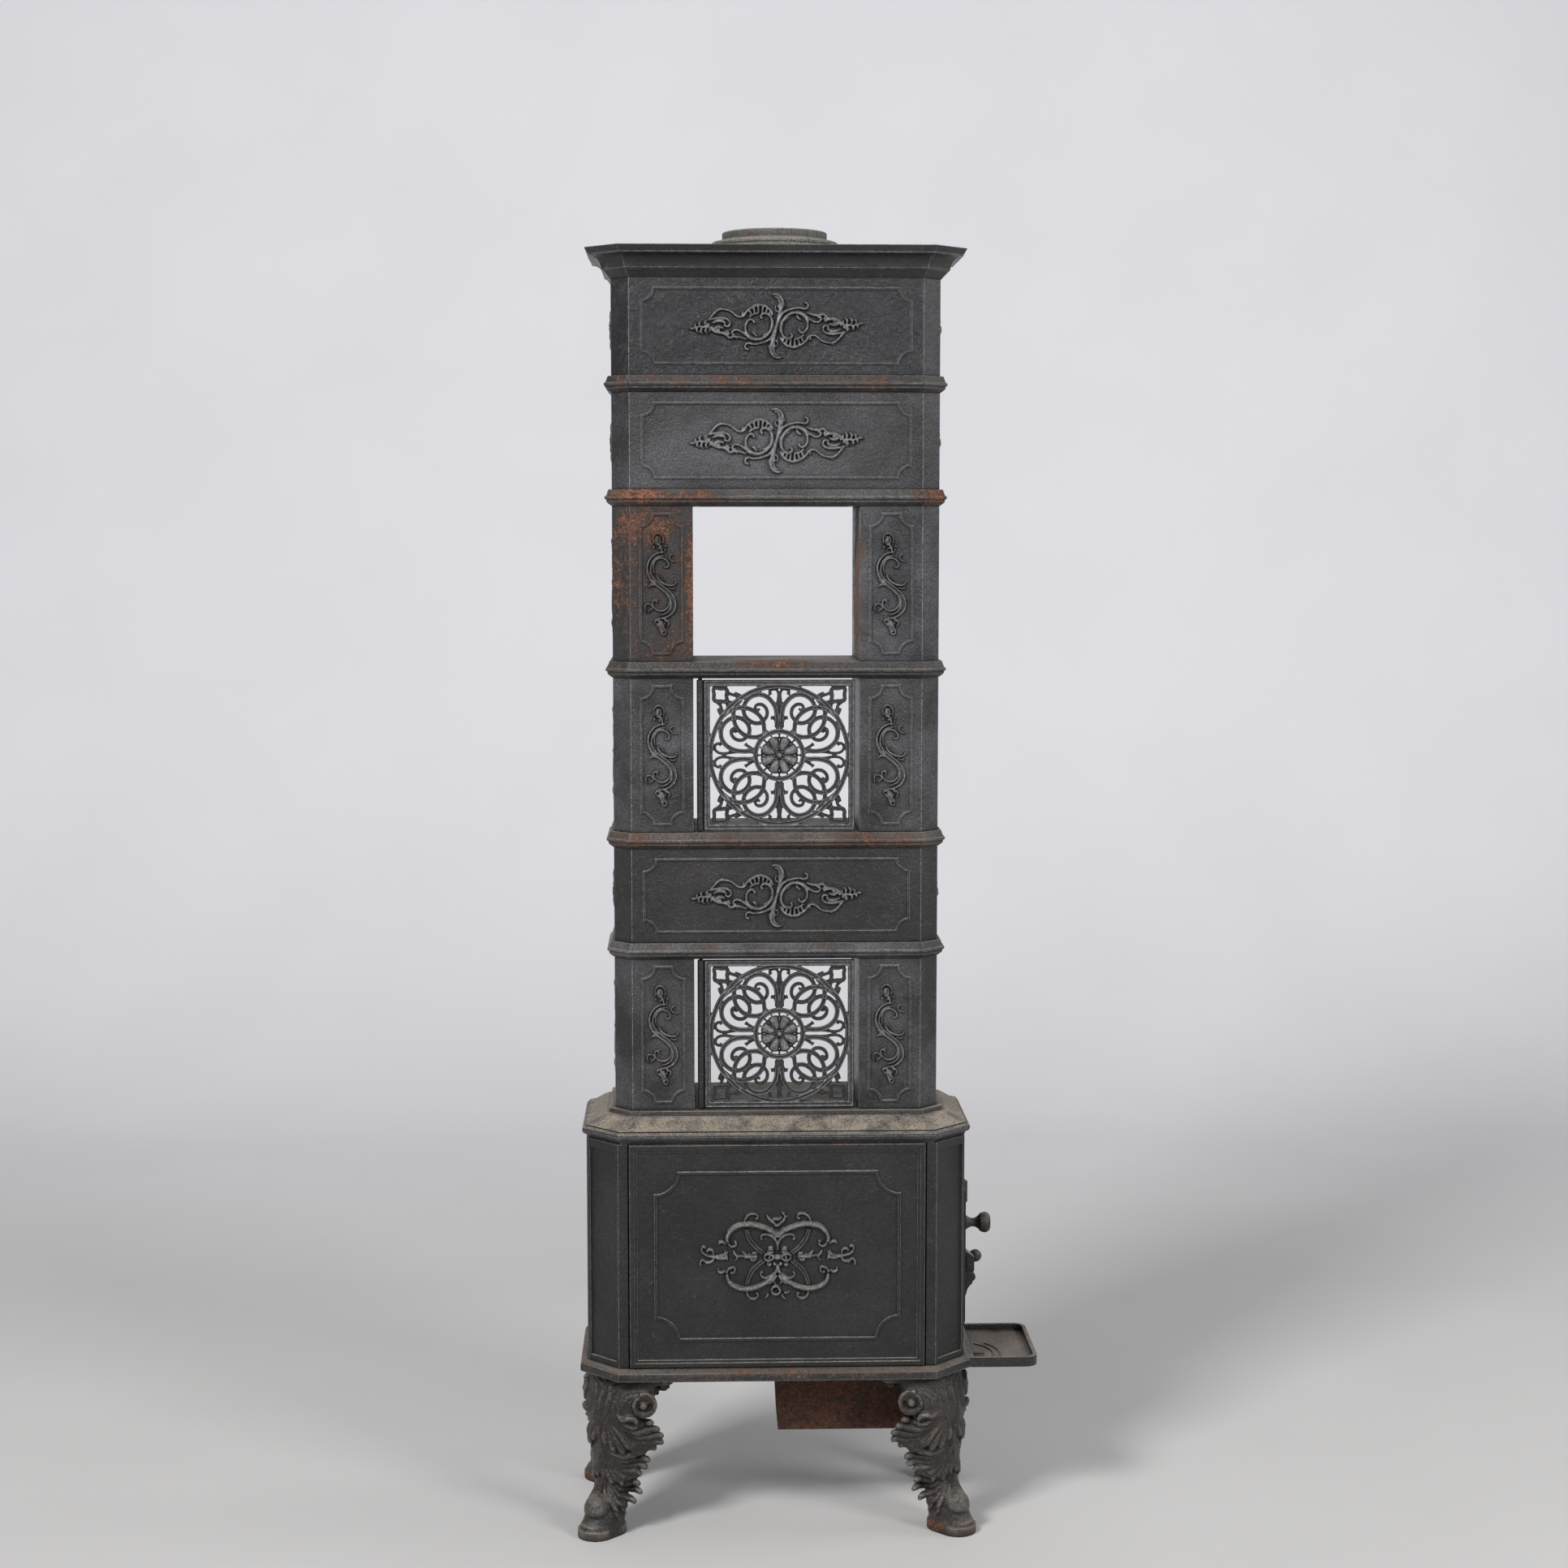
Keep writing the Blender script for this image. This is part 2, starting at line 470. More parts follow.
rocailleStrokes = readStrokes("""
-26.1,3.3 -29.8,7.7 -34.7,5.5 -37.3,-0.7 -36,-7.7 -30.9,-13.3 -23.6,-15.9 -15.5,-13.9 -8.8,-7.7 -5.3,0.7 \
-6.2,8.8 -10.4,13.7 -15.5,14.6 -18.8,11.7 -17,8.2 | 2.9 2 2 2.2 2.7 2.9 2.9 2.9 3.1 3.3 2.9 2.4 2.2 2.2 3.1
-7.3,5.5 -6.8,-0.7 -10.4,-7.1 -16.6,-10.8 | 1.1 1.5 1.5 0.9
-33.8,-28.1 -37.3,-26.3 -37.3,-22.3 -33.8,-20.3 -28.7,-21.4 -18.8,-20.3 -8.8,-16.1 -2.9,-7.7 0,0 2.9,7.7 \
8.8,16.1 18.8,20.3 28.7,21.4 33.8,20.3 37.3,22.3 37.3,26.3 33.8,28.1 | 2.7 2 2 2.2 1.8 2 2.4 2.7 2.9 2.7 \
2.4 2 1.8 2.2 2 2 2.7
2.4,25.4 3.8,17.7 1.5,9.5 0,0 -1.5,-9.5 -3.8,-17.7 -2.4,-25.4 | 2.7 2.4 2 2.7 2 2.4 2.7
3.3,13.3 6,21 7.3,28.1 4.9,34.2 -0.7,37.6 -6.4,36.7 | 2.2 3.3 4 3.3 2.2 1.1
1.8,14.4 3.3,22.1 3.5,28.1 1.1,33.1 -2.9,34.7 | 1.1 1.5 1.5 1.3 0.9
5.5,20.5 9.5,23.6 10.4,27.6 | 1.8 1.5 0.7
0,16.6 -1.5,21 -0.7,25.4 | 1.8 1.3 0.7
-38.7,12.6 -35.1,17.9 -28.7,22.5 -21,25 -13.3,23.6 -7.7,19.4 -4.2,13.3 | 2 2.2 2.2 2.4 2.4 2.2 2
-29.8,12.8 -32,17.9 | 1.3 2.2
-25.8,14.8 -27.4,21 | 1.3 2.2
-21.6,16.1 -21.9,22.8 | 1.3 2.2
-17.2,16.3 -16.3,22.8 | 1.3 2.2
-13,15.2 -11,21 | 1.3 2.2
-9.5,12.6 -7.3,17.5 | 1.3 2
-33.1,10.4 -27.6,13.9 -21,15.5 | 1.3 1.5 1.3
-37.3,13.3 -42,10.8 -47.1,11.5 -51.9,15.2 -56.3,18.1 -60.7,19.2 -67.4,19.7 -72.9,16.6 -77.3,11.7 \
-81.5,7.7 | 2 2.2 2.2 2 2 1.8 2.2 2.4 2 1.1
-39.1,11.3 -40.9,14.8 -40,17.5 | 2 1.5 0.7
-66,19.2 -67.4,21.4 -66,23.2 | 1.5 1.1 0.4
-81.7,6.8 -74,8.6 -65.2,9.5 -58.1,7.3 -55.7,3.3 -58.5,-0.7 -63.4,0.7 | 1.1 2 2.4 2.4 2.2 2 1.3
-77.3,3.3 -69.6,5.7 -62.5,4.2 -60.7,1.5 | 1.4 2.8 2.8 1.4
-57.2,-5.7 -64.1,-8.4 -71.3,-7.7 -77.3,-4.6 -81.7,-0.2 | 1.8 2.7 3.1 2.7 1.8
-63.4,-2.9 -70,-1.1 -74.9,-4 | 1.8 2.9 2.2
-67.4,-5.1 -71.8,-6 | 2.2 2.7
-79.5,0.7 -83.3,3.3 | 2.4 1.1
-76.2,-0.7 -79.5,-3.3 -80.6,-7.7 | 2.2 2 0.9
-97.5,-2.2 -101,-3.4 -105.5,-2.6 | 1.2 3.2 0.4
-97,-2.5 -93,-1 -86,-1.2 -81,0.5 | 1 1.6 2 1.6
-96,-2.5 -97.5,0.6 -96.6,3.6 | 1 2.4 0.4
-90.5,-1 -92.4,2.6 -90.4,5.8 | 1.2 2.8 0.5
-85,0 -85.6,4.2 -82.6,7 | 1.2 2.8 0.5
-95,-2.4 -95.4,-6 -92.6,-8.4 | 1 2.4 0.4
-89,-1.6 -90.4,-6.8 -87,-10.4 | 1.2 3 0.5
-83.4,-1.6 -84.8,-6.6 -81.6,-10 | 1.2 2.8 0.5
-23.6,-17.7 -32,-14.4 -38,-9.5 -42.6,-6.6 -47.9,-4.6 -52.4,-6.2 -52.8,-9.9 -49.3,-10.4 | 1.8 2.7 2.7 2.2 \
2 2 2 2.4
-36,-16.1 -43.1,-13.5 -50.1,-12.6 -56.3,-13.9 -60.7,-10.4 -64.7,-8.8 | 1.3 2.4 2.4 2.7 2.2 2
-56.3,-13.5 -57.7,-15.2 | 3.1 2.7
-47.5,-13.5 -48.4,-16.1 | 1.8 0.9
-59,-11.3 -56.3,-7.7 | 2 1.3
-29.8,-6.8 -26.5,-9.1 -23.6,-12.6 | 1.3 2.9 1.8
""")
sprayStrokes = readStrokes("""
4.8,38.9 -3.7,37.5 -10.8,33.2 -15.7,25.8 -17.1,17.3 -14.7,8.1 -7.6,-0.4 1.2,-7.1 8,-13.8 11.5,-22.3 \
10.4,-29.7 4.8,-35.3 -2.3,-37.8 | 1.2 1.8 2.1 2.3 2.3 2.3 2.1 2.1 2.3 2.3 2.1 1.8 1.2
3.7,34.1 -3.4,33.2 -9,29.3 -12,23.5 -12.9,16.4 -10.4,8.8 -3,1.1 6.5,-6 13.3,-13.1 16.8,-22.3 15.7,-30.7 \
10.8,-36.7 2.3,-41 -6.2,-42.4 | 1.1 1.8 1.9 1.9 1.9 1.9 1.9 1.9 2.1 2.3 2.3 2.1 1.8 1.1
-11.7,20.8,-1.3 -14.3,13.8,-1.3 -10.8,4.9,-1.3 -1.9,-3.2,-1.3 6.9,-9.9,-1.3 13.3,-18,-1.3 14,-26.9,-1.3 \
8.7,-34.3,-1.3 -0.2,-39.2,-1.3 | 2.5 3.2 3.2 3.2 3.2 3.5 3.2 2.8 1.8
3,21.2 6.5,20.1 8.7,23.7 6.9,27.9 2.3,30.7 -3,31.1 -7.6,27.6 -9.7,20 -8.7,12 | 2.1 1.9 1.9 1.8 1.8 1.9 \
1.9 1.6 1.2
-5.8,12.4 -3.7,6.4 2.3,1.1 9,-1.4 15.4,-0.9 18,3.2 | 1.2 2.3 2.3 2.1 1.6 2.3
-0.2,10.6 0.9,6.7 4.4,3.9 | 0.7 1.2 0.7
8.3,-4.2 13.3,-5.7 17.5,-3.2 | 1.2 1.6 0.9
14.7,-4.9 17.1,-7.8 | 1.2 0.7
-6.2,0.4 -11.1,4.2 -15.7,3.9 | 1.8 2.3 1.2
-6.5,-1.4 -12.5,-1.1 -16.8,-4.2 | 1.6 2.1 1.1
-11.5,4.2 -14,6.7 | 1.4 0.7
14.7,35.3 11.1,35 9.9,31.4 12.9,27.9 18.6,26.9 | 1.2 1.6 1.8 1.6 1.1
-18.6,-34.8 -20,-29.7 -19.3,-25.4 -15.7,-24 -11.8,-25.8 -11.1,-29.3 -14.3,-31.4 -15.7,-35.3 | 0.9 1.6 1.8 \
1.6 1.6 1.6 1.8 0.9
-5.1,-21.6 -8.7,-19.4 -10.8,-23 -9,-27.9 -4.1,-31.8 2.7,-31.8 7.6,-27.9 9.7,-21.6 8.7,-16.3 | 2.3 1.8 1.8 \
1.8 1.9 2.1 1.9 1.6 1.1
-8.7,-19.8 -5.1,-18 -2.7,-19.8 | 1.4 1.2 0.9
-9,48.8 -10.1,53 -8.7,58.3 -4.4,61.1 0.2,59 2.7,53.7 1.2,48.8 | 1.4 1.6 1.6 1.8 1.6 1.6 1.4
-6.9,54.1 -4.1,56.5 -1.2,53.4 -2.7,48.8 -5.5,48.8 | 1.1 1.6 1.6 1.8 1.4
-9,45.9 -9.4,42.8 | 2.8 2.1
-3,44.5 -2.7,42 | 2.8 2.1
4.4,47 5.8,43.8 | 2.7 1.8
3.4,42 5.5,40.6 | 2.3 1.6
-3.4,48.8 -0.2,43.5 0.9,36.7 | 1.8 2.3 1.8
-5.8,47 -1.9,47 | 2.1 2.1
-6.2,-42 -8.3,-45.6 -7.6,-47.3 | 1.9 1.9 1.4
0.5,-41 6.2,-43.5 8.8,-47 6.5,-51.6 | 1.8 2.1 2.1 1.4
-3.4,-42 -2.7,-48.4 -1.2,-55.5 2.3,-61.1 4.8,-59 3.7,-53.7 0.9,-51.2 | 1.9 2.3 2.1 2.1 1.8 1.8 1.8
-6.2,-47.3 -3.7,-51.2 | 2.5 1.8
4.4,-47 2.7,-49.5 | 1.8 1.4
-0.2,-54.4 1.9,-58 | 1.8 2.1
-4.8,57.5,-0.8 -5.6,52,-0.8 -4.6,46.5,-0.8 | 3.5 6 4
-0.8,-44,-0.8 0.6,-50,-0.8 2.6,-57,-0.8 | 4 6 3.5
-13.5,2,-0.6 -9,1.4,-0.6 | 2.4 3.6
-8.5,-45,-0.4 -5,-43,-0.4 | 2.2 3
6.5,-45.5,-0.4 3.5,-43.5,-0.4 | 2.2 3
""")
cartoucheHalf = readStrokes("""
-61.1,17.6 -62,24.7 -56.9,33 -48.9,38.1 -38.9,40.1 -28.6,39.3 -18.6,36.4 -9.4,32.7 -4,28.4 -0.3,23.6 | \
3.7 4.3 4.9 5.1 5.1 5.1 5.1 4.9 3.7 2
-53.6,19 -50.9,16.7 -52.6,13 -56.6,12.4 -59.7,15.6 -61.7,19 | 2 2 2 2 2 2.3
-63.4,14.7 -67.1,18.1 -70.9,17.9 -72.6,15 | 1.4 2.6 2.6 1.7
-27.1,46.7 -24.3,48.4 -25.4,51.9 -30.3,53.3 -35.7,51.6 -39.7,46.7 -40.9,41 | 2.3 2 2 2.1 2.1 2.1 2
-39.7,33.3 -37.7,24.7 -32.9,16.1 -26,8.4 -18.6,2.1 | 1.3 1.3 1.3 1.3 1.1
-36.6,33.9 -34.3,25.6 -29.4,17.6 -22.9,10.1 -16,4.4 | 1.3 1.3 1.3 1.3 1.1
-18.6,-4.7 -27.1,-11.3 -33.7,-18.7 -37.7,-27.9 -39.7,-36.1 | 1.1 1.3 1.3 1.3 1.3
-16,-7 -24.3,-13.6 -30.6,-20.7 -34.6,-29.3 -36.6,-36.1 | 1.1 1.3 1.3 1.3 1.3
-62.1,-22.1 -61.1,-28.4 -56.3,-35 -48.6,-39.3 -38.3,-40.7 -27.1,-39 -18.6,-35.3 -11.4,-31 -5.4,-25.3 \
-2,-17.9 -0.3,-10.7 | 2.9 4.3 4.9 4.9 4.9 4.9 4.6 4 3.1 2.3 1.7
-58.3,-20.1 -55.1,-20.7 -52.6,-18.4 -52.9,-14.4 -56.9,-14.1 -60.9,-16.4 -62.9,-20.7 | 2 1.7 1.9 1.9 1.9 2 \
2.3
-64.6,-17.3 -68,-19.9 -72.3,-18.1 -72.9,-14.4 | 1.3 2.3 2.4 1.4
-38.3,-42.1 -36.3,-49 -31.4,-53.3 -26,-51.9 -24,-48.1 -26.9,-45.6 | 2 2.1 2.1 2.1 2 2.3
-54.3,7.9 -53.1,4.7 -49.7,-0.7 -53.1,-6.4 | 2 2.6 2 1.4
-61.1,6.1 -62.9,2.7 -62.3,-0.7 -61.1,-5 | 1.4 2 2.6 1.4
-64,7.9 -65.4,3.3 -70,0.4 -77.7,0.1 | 1.4 2 2.3 2.3
-62.9,-1.4 -68.6,-2.4 -76.3,-0.7 | 2.3 2.9 2.3
-76.6,0.1 -84.3,0.7 -90.3,3.9 -93.4,8.4 -91.4,12.4 -88,10.7 | 2.3 2 1.9 1.9 1.9 2
-79.1,2.7 -78.6,6.1 -81.7,8.7 -86,7.9 -86.9,5.6 | 1.7 2 2.1 2 2.3
-77.7,-0.7 -80.9,-5.9 -87.1,-6.4 -92,-4.1 -95.1,-7.6 -93.7,-11.6 | 2 2.6 2.1 1.9 1.9 1.9
-88.6,-7.6 -83.4,-7.6 | 2 2.3
-50,0.4 -42.9,0.1 -34.3,-0.7 -24.6,-0.1 | 1.4 1.7 2.9 2
-44.3,7 -41.1,3.6 -37.1,0.1 | 0.9 2.4 2
-41.4,-2.4 -37.1,-1.6 -33.1,-0.4 | 1 2 1.7
-31.4,3 -27.1,3.6 -24.9,1.6 | 1.7 2.3 1.1
-33.6,-3.6 -29.3,-5 -25.7,-2.4 | 2 2.3 1.4
-35.7,3.6 -33.6,1 | 1.4 1.7
-30.3,-7.1 -31.4,-5 | 1.1 1.7
-11.4,8.4 -8.3,9.3 -5.1,7.9 | 3.7 4.9 3.4
-12.9,6.1 -8.6,4.7 -4.6,5.6 | 1.7 2.6 2
-17.1,-0.7 -13.7,2.4 -9.1,2.4 -5.4,-0.7 -8,-5 -13.1,-5.3 -16.9,-1.9 | 1.7 2.1 2.3 2.1 2.1 2.1 1.7
-11.4,-1.4 -9.1,-1.9 | 2.9 2.6
-12.9,-8.7 -10.6,-11 -7.7,-9.6 | 2.3 2.9 2.3
-5.1,-7.6 -3.4,-10.1 -1.7,-8.7 | 2.3 2.9 2
-1.7,2.1 -1.1,-3.6 | 2.9 3.4
0,7.9 0,14.7 | 2 2.3
0,13.6 -2.6,20.4 -8.3,25.6 -14.9,27.3 -20,25.3 -20.6,21.6 -18,21.3 | 1.7 2.3 2.3 2 1.9 1.9 2
-0.6,-13.3 -2.9,-19.9 -8,-24.7 -14,-27.6 -19.4,-25.3 -20.9,-21.3 -18.3,-19.3 | 1.9 2.3 2.4 2.1 1.9 1.7 2
0,-10.7 0,-20.7 | 2.3 1.4
-7.7,35.9 -4,31.3 0.3,26.1 | 1.7 2.3 2
0.3,23.6 0.3,32.4 | 2 1.1
-11.4,-34.7 -5.7,-30.1 -1.1,-23.6 | 2 2.9 2.3
-5.4,-29.3 -2.9,-35.3 | 2.3 1.4
""")
cartoucheMiddle = readStrokes("""
-13.7,52.4 -11.1,47.9 -7.7,44.1 -4,41.3 | 1.1 2.9 3.1 2.3
-4,41.3 -1.1,38.4 3.1,40.7 | 2 2.3 2
3.1,41.3 7.4,45 8.9,47.9 | 2 3.1 2
8.9,47.9 7.7,52.7 4.6,54.7 | 1.4 2 1.1
8.9,49.6 12.6,49.3 | 2 1.1
-5.7,46.1 -1.4,46.4 2.9,45.6 | 2 2.3 2
4.6,49.3 2.9,47.3 | 2.3 2
-8,42.7 -9.1,45.3 | 1.4 2
-8,-43 -5.4,-38.7 -1.7,-37.3 1.7,-39.9 2.9,-44.1 -0.3,-47.6 -4.9,-47.3 -7.7,-43.9 | 2 2.6 2.9 2.6 2.6 2.6 \
2.6 2
-2.3,-43 -1.7,-43.6 | 3.1 3.1
-10.9,-47.3 -13.4,-50.1 -16.9,-53.9 | 2.3 2 0.7
4.6,-48.1 7.7,-51.9 12,-55.6 | 2.6 2.3 0.7
8,-46.1 11.7,-46.4 14.9,-44.4 | 2 1.4 0.7
-2.9,-34.7 -1.4,-37.3 | 2 1.7
""")
ornaments = {  # mm the relief stands out, scale of its widths and mm added, voxel in mm, share of faces kept
    "rocaille": {"proud": 1.5, "swell": 1.15, "fullness": 1.5, "voxel": 0.6, "keep": 0.24},
    "spray": {"proud": 1.7, "swell": 1.1, "fullness": 0.8, "voxel": 0.45, "keep": 0.25},
    "cartouche": {"proud": 1.35, "swell": 1.2, "fullness": 1.7, "voxel": 0.6, "keep": 0.34},
}
reliefShape = {"rise": 0.7, "backScale": 0.3, "backDeep": 0.5, "crestPart": 0.6, "sideKeep": 0.4}  # for all three


def makeRelief(name, strokes):
    # strokes raised from a surface: full in front, shallow behind so that they sink into it
    look = ornaments[name]
    shape = drawStrokes(name, [(points, [w * look["swell"] + look["fullness"] for w in widths])
                               for points, widths in strokes])
    for v in shape.vertices:
        if v.co.y < 0:
            v.co.y = v.co.y * look["proud"] - reliefShape["rise"] * mm
        else:
            v.co.y = v.co.y * reliefShape["backScale"] + reliefShape["backDeep"] * mm
    shape = fused(name, [shape], look["voxel"], look["keep"])
    markCrests(shape, -min(v.co.y for v in shape.vertices) / mm * reliefShape["crestPart"], 0)
    return shape


def lighter(mesh):
    # the same relief with fewer faces, for the side walls
    thing = addObject(mesh.name + "Light", mesh.copy())
    thing.modifiers.new("fewer faces", "DECIMATE").ratio = reliefShape["sideKeep"]
    return evaluated(thing)


rocaille = makeRelief("rocaille", rocailleStrokes + turned(rocailleStrokes, -1, -1))
spray = makeRelief("spray", sprayStrokes)
cartouche = makeRelief("cartouche", cartoucheHalf + turned(cartoucheHalf, -1) + cartoucheMiddle)
sideRocaille = lighter(rocaille)
sideSpray = lighter(spray)
print("ornaments ready:", [len(m.polygons) for m in (rocaille, spray, cartouche)])


def onFront(mesh, x, y, z):
    return placed(mesh, Matrix.Translation((middleX + x * mm, y * mm, z * mm)))


def onSide(mesh, side, x, z, sx, sz):
    # side is 1 for the right wall and -1 for the left
    return placed(mesh, Matrix.Translation((middleX + x * mm, 0, z * mm))
                  @ Matrix.Rotation(side * math.pi / 2, 4, "Z")
                  @ Matrix.Diagonal((sx, tower["sideProud"], sz, 1)))


tower = {"wallX": 199, "frontY": -78, "columnMiddle": 139, "openHigh": 188, "boxHigh": 116, "corner": 1.0,
         "sideSpray": (1.15, 0.98), "sideRocaille": (0.47, 0.62), "sideProud": 0.6}  # mm and scales
storeyColumns = {1: 530, 3: 874, 4: 1082}  # storey and the height in mm that it stands on
storeyBoxes = {2: (738, towerIron), 5: (1290, panelIron), 6: (1426, glossyIron)}


def buildColumn(name, node, zLow, side, material):
    z = zLow + tower["openHigh"] / 2
    extras = [onFront(spray, side * tower["columnMiddle"], tower["frontY"], z),
              onSide(sideSpray, side, side * tower["wallX"], z, *tower["sideSpray"])]
    makePiece(name, castCopy(node, tower["corner"], clamp=False), material, "stove", [node], extras)


def buildBox(name, node, zLow, material):
    z = zLow + tower["boxHigh"] / 2
    extras = [onFront(rocaille, 0, tower["frontY"], z)]
    extras += [onSide(sideRocaille, side, side * tower["wallX"], z, *tower["sideRocaille"]) for side in (-1, 1)]
    makePiece(name, castCopy(node, tower["corner"], clamp=False), material, "stove", [node], extras)


for n, zLow in storeyColumns.items():
    for side, word in ((-1, "left"), (1, "right")):
        iron = (rustyPilasterIron if side < 0 else rightPilasterIron) if n == 4 else columnIron
        buildColumn(f"storey{n}.column.{word}", f"storey{n}_flue_{word}", zLow, side, iron)
for n, (zLow, iron) in storeyBoxes.items():
    buildBox(f"storey{n}.box", f"storey{n}_box", zLow, iron)
for n, iron in floorIrons.items():
    makePiece(f"floor{n}", castCopy(f"floor_{n}", 0.6, clamp=False, inner=False), iron, "stove", [f"floor_{n}"])
makePiece("cornice", castCopy("crown", 0.7, clamp=False), towerIron, "stove", ["crown"])
makePiece("flueCollar", castCopy("flue_collar", 0.9, clamp=False), collarIron, "stove", ["flue_collar"])
print("tower ready")

base = {"frontY": -112, "middleZ": 355, "ribZ": 205.2}  # the front panel's face and middle, the tray's ribs
trayRibs = readStrokes("""
249,60 262,60 | 2.2
249,52 262,52 | 2.2
249,44 263,44 | 2.2
249,36 264,36 | 2.2
266,64 272,52 275,38 273,22 266,8 255,-2 | 2.4
276,62 282,46 283,28 278,10 268,-4 | 2.2
""")
ribMesh = drawStrokes("trayRibs", trayRibs)
ribMesh.transform(Matrix.Translation((middleX, 0, base["ribZ"] * mm)) @ Matrix.Rotation(math.pi / 2, 4, "X"))
panelOrnament = onFront(cartouche, 0, base["frontY"], base["middleZ"])
baseCastings = {  # the piece's CAD node, its corners in mm, whether they stop at each other, finish, ornaments
    "baseTop": ("base_top", 0.7, False, baseTopIron, []),
    "basePlate": ("base_plate", 0.8, False, plateIron, [ribMesh]),
    "frontPanel": ("base_front_panel", 0.8, False, baseIron, [panelOrnament]),
    "leftPanel": ("base_left_panel", 0.8, False, baseIron, []),
    "rearPanel": ("base_rear_panel", 0.8, True, baseIron, []),
    "rightPanel": ("base_right_panel", 0.6, True, baseIron, []),
}
for place in ("front_left", "front_right", "rear_left", "rear_right"):
    baseCastings["post." + place] = ("base_post_" + place, 0.7, False, baseIron, [])
for name, (node, corner, clamp, iron, extras) in baseCastings.items():
    makePiece(name, castCopy(node, corner, clamp=clamp), iron, "stove", [node], extras)
fittings = {  # the piece's CAD node, finish, body and material slot
    "fireDoor": ("fire_door", baseIron, "fire_door", "cast_iron"),
    "doorKnob": ("fire_door_knob", legIron, "door_latch", "cast_iron"),
    "doorLatch": ("fire_door_latch", burntIron, "door_latch", "rusty_cast_iron"),
    "airSlide": ("air_slide", legIron, "air_slide", "cast_iron"),
    "ashBox": ("ash_box", rustySheet, "stove", "sheet_iron"),
    "ashPan": ("ash_pan", rustySheet, "ash_pan", "sheet_iron"),
    "fireGrate": ("fire_grate", burntIron, "stove", "rusty_cast_iron"),
}
for name, (node, finish, body, slot) in fittings.items():
    makePiece(name, castCopy(node, 0.4, 35), finish, body, [node])
carried = {"leg_bolts": rustyPins, "leg_nuts": rustyPins, "ash_box_rivets": rustyPins,
           "fire_door_hinge_pins": rustyPins, "lower_grille_pins": rustyPins, "upper_grille_pins": rustyPins,
           "firebrick_front": sootyBrick, "firebrick_rear": sootyBrick, "firebrick_left": sootyBrick}
for node, finish in carried.items():
    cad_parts[node].material_slots[0].material = finish
print("base ready")

grille = {"left": -88.5, "right": 95.5, "high": 184, "band": 7.7, "thick": 6, "pivotX": -92.75, "pivotY": -73,
          "barrel": 4.25, "gap": 2, "voxel": 0.8, "keep": 0.28, "swell": 1.2, "strapBack": 4,
          "strapProud": 1.15, "outerRing": (83.9, 5.6), "innerRing": (29, 5.6), "eyeRing": (8.2, 3), "boss": 5,
          "bead": 2.2, "beadInsets": (1.4, 6.4),  # mm; a ring has its radius and width
          "crest": (1.0, -2.4, -0.3)}  # how high the rubbing starts and where, and the mark in a hollow
rosette = {"petals": 8, "petal": (6, 11, 17, 21, 23), "petalWidths": [8, 11, 14, 14, 9],  # radii in mm
           "ribs": ((-11, 22.5, 2.6), (0, 25, 3.6), (11, 22.5, 2.6)),  # degrees aside, reach and lift
           "ribFrom": (8, 14, 19), "ribWidths": [1.6, 3.2, 4.2, 2.8], "link": (20, 27),
           "linkWidths": [2.5, 2.5], "proud": 0.8, "sunk": 0.6}
